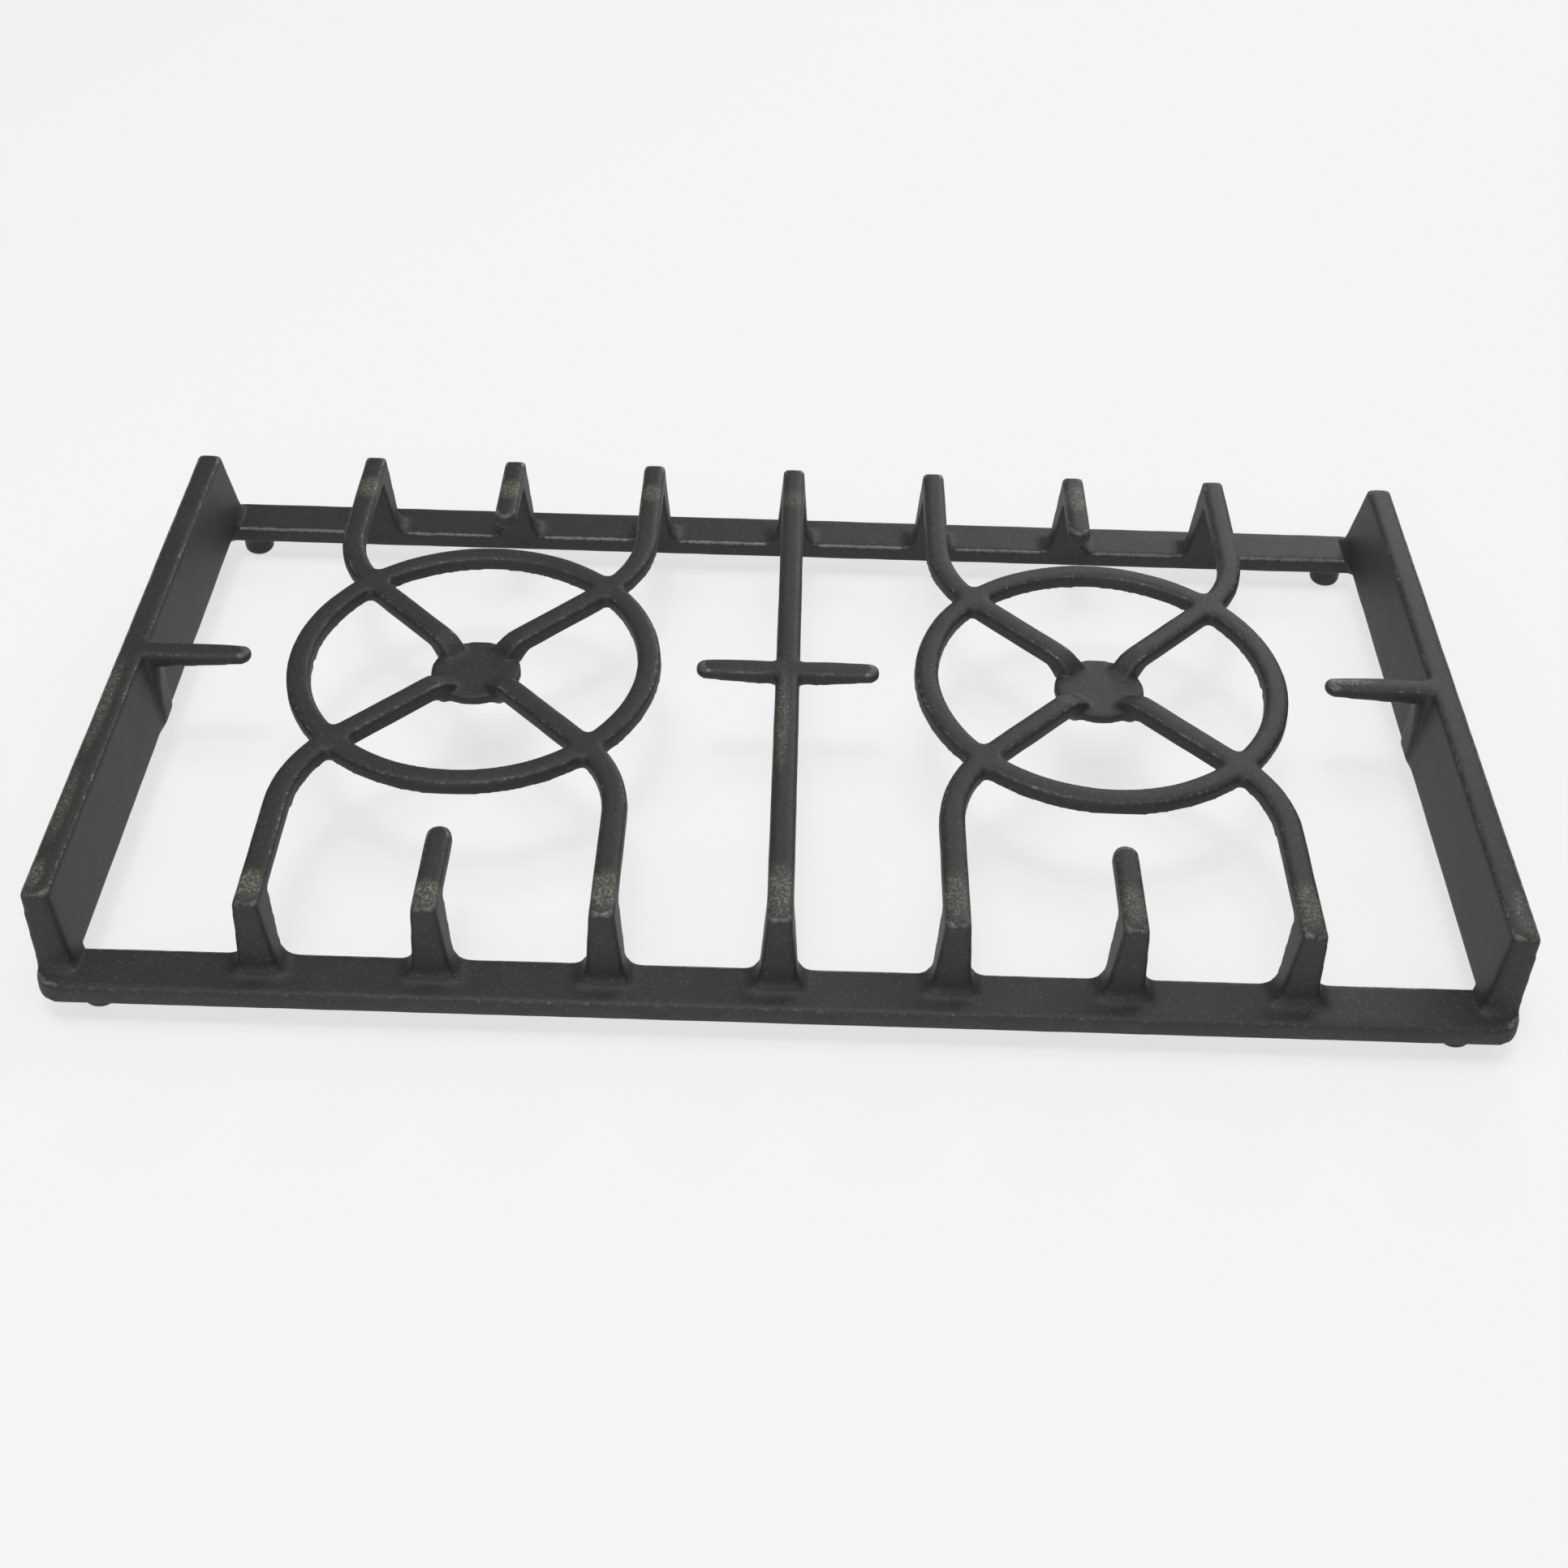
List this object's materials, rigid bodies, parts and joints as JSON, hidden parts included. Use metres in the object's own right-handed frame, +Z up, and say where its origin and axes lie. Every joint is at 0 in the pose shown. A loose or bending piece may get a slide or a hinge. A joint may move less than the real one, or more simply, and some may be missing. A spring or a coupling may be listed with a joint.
{
  "type": "hob pan support",
  "caption": "Cast-iron hob pan support: a low frame with upright side walls carries fingers, rings and spokes that hold pans level above the burners.",
  "frame": {"origin": "centre of the rectangle of feet, on the surface the feet stand on", "axes": "+X along the long side, +Y from the front bar to the back bar, +Z up to the pans"},
  "size_m": [0.472, 0.264, 0.0468],
  "materials": {
    "enamelled_iron": "satin dark enamel, worn at the ends of the fingers"
  },
  "bodies": {
    "root": {"pan_support": "enamelled_iron"}
  },
  "joints": []
}
